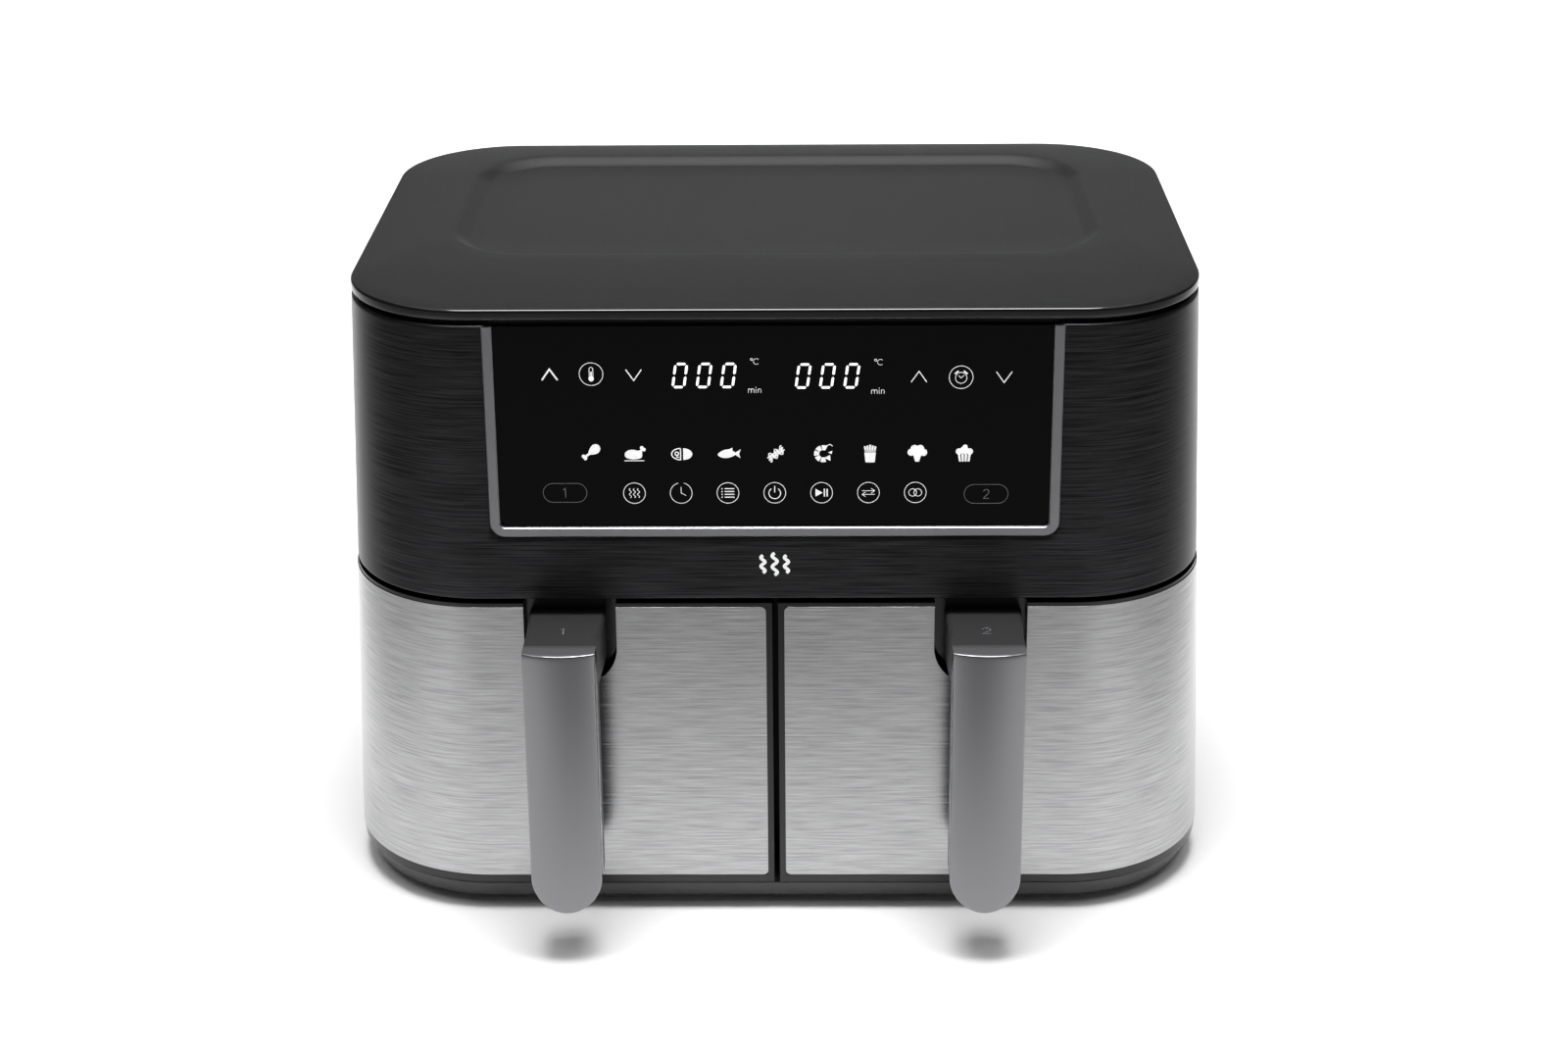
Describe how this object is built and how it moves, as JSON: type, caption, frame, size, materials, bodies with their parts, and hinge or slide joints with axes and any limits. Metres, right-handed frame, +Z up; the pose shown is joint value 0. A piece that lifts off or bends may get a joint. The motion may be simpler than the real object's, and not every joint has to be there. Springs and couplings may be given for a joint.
{
  "type": "air fryer",
  "caption": "Countertop hot-air fryer: tapered housing, touch panel, and side-by-side drawers holding baskets with lift-out crisper plates.",
  "frame": {"origin": "middle of the whole footprint, handles included, on the surface the rubber feet stand on", "axes": "+X to the right seen from the front, +Y towards the back, +Z up; the drawers face -Y"},
  "size_m": [0.4262, 0.36, 0.31],
  "materials": {
    "matte_cover": "fine matte texture",
    "brushed_black": "black brushed, satin",
    "shell_plastic": "fine matte texture",
    "panel_glass": "black printed glass, polished",
    "satin_trim": "satin anodised",
    "steel_skin": "brushed sideways",
    "chrome_cover": "polished",
    "rim_plastic": "gloss",
    "grip_plastic": "satin",
    "nonstick": "non-stick coating, satin",
    "bright_sheet": "rolled sheet",
    "heater_tube": "dull grey sheath",
    "zinc_screw": "zinc plated",
    "silicone": "matte",
    "frame_plastic": "plain moulded",
    "circuit_board": "solder mask",
    "display_plastic": "smoked",
    "spring_wire": "plated",
    "motor_iron": "laminated",
    "bracket_sheet": "zinc plated",
    "bronze_bush": "sintered",
    "shaft_steel": "ground",
    "fan_sheet": "pressed sheet",
    "fan_plastic": "moulded",
    "magnet_ferrite": "ferrite",
    "sensor_body": "moulded"
  },
  "bodies": {
    "housing": {"base_pan": "shell_plastic", "rubber_feet": "silicone", "housing_screws": "zinc_screw", "rear_panel": "shell_plastic", "rear_grilles": "frame_plastic", "cord_gland": "silicone", "front_fascia": "brushed_black", "panel_trim": "satin_trim", "control_glass": "panel_glass", "control_board": "circuit_board", "display_modules": "display_plastic", "touch_springs": "spring_wire", "top_cover": "matte_cover", "front_frame": "frame_plastic", "exhaust_ducts": "bright_sheet", "power_board": "circuit_board", "temperature_sensors": "bracket_sheet", "reed_sensors": "sensor_body", "left_side_shell": "shell_plastic", "right_side_shell": "shell_plastic", "left_chamber_liner": "bright_sheet", "right_chamber_liner": "bright_sheet", "left_heating_element": "heater_tube", "right_heating_element": "heater_tube", "left_heater_guard": "bracket_sheet", "right_heater_guard": "bracket_sheet", "left_motor_stator": "motor_iron", "right_motor_stator": "motor_iron", "left_motor_bracket": "bracket_sheet", "right_motor_bracket": "bracket_sheet", "left_motor_bushes": "bronze_bush", "right_motor_bushes": "bronze_bush"},
    "left_drawer": {"left_drawer_front": "rim_plastic", "left_front_skin": "steel_skin", "left_back_plate": "frame_plastic", "left_basket": "nonstick", "left_basket_screws": "zinc_screw", "left_drawer_seal": "silicone", "left_drawer_magnet": "magnet_ferrite", "left_handle_grip": "grip_plastic", "left_handle_cover": "chrome_cover", "left_handle_screws": "zinc_screw"},
    "left_plate": {"left_crisper_plate": "nonstick", "left_plate_bumpers": "silicone"},
    "left_fan": {"left_motor_shaft": "shaft_steel", "left_convection_fan": "fan_sheet", "left_cooling_fan": "fan_plastic"},
    "right_drawer": {"right_drawer_front": "rim_plastic", "right_front_skin": "steel_skin", "right_back_plate": "frame_plastic", "right_basket": "nonstick", "right_basket_screws": "zinc_screw", "right_drawer_seal": "silicone", "right_drawer_magnet": "magnet_ferrite", "right_handle_grip": "grip_plastic", "right_handle_cover": "chrome_cover", "right_handle_screws": "zinc_screw"},
    "right_plate": {"right_crisper_plate": "nonstick", "right_plate_bumpers": "silicone"},
    "right_fan": {"right_motor_shaft": "shaft_steel", "right_convection_fan": "fan_sheet", "right_cooling_fan": "fan_plastic"}
  },
  "joints": [
    {"name": "left_drawer_slide", "type": "slide", "parent": "housing", "child": "left_drawer", "axis": [0, -1, 0], "range_m": [0, 0.28]},
    {"name": "left_plate_lift", "type": "slide", "parent": "left_drawer", "child": "left_plate", "axis": [0, 0, 1], "range_m": [0, 0.118]},
    {"name": "left_fan_spin", "type": "hinge", "parent": "housing", "child": "left_fan", "pos_m": [-0.094, 0.0209, 0.22], "axis": [0, 0, 1], "continuous": true},
    {"name": "right_drawer_slide", "type": "slide", "parent": "housing", "child": "right_drawer", "axis": [0, -1, 0], "range_m": [0, 0.28]},
    {"name": "right_plate_lift", "type": "slide", "parent": "right_drawer", "child": "right_plate", "axis": [0, 0, 1], "range_m": [0, 0.118]},
    {"name": "right_fan_spin", "type": "hinge", "parent": "housing", "child": "right_fan", "pos_m": [0.094, 0.0209, 0.22], "axis": [0, 0, 1], "continuous": true}
  ]
}
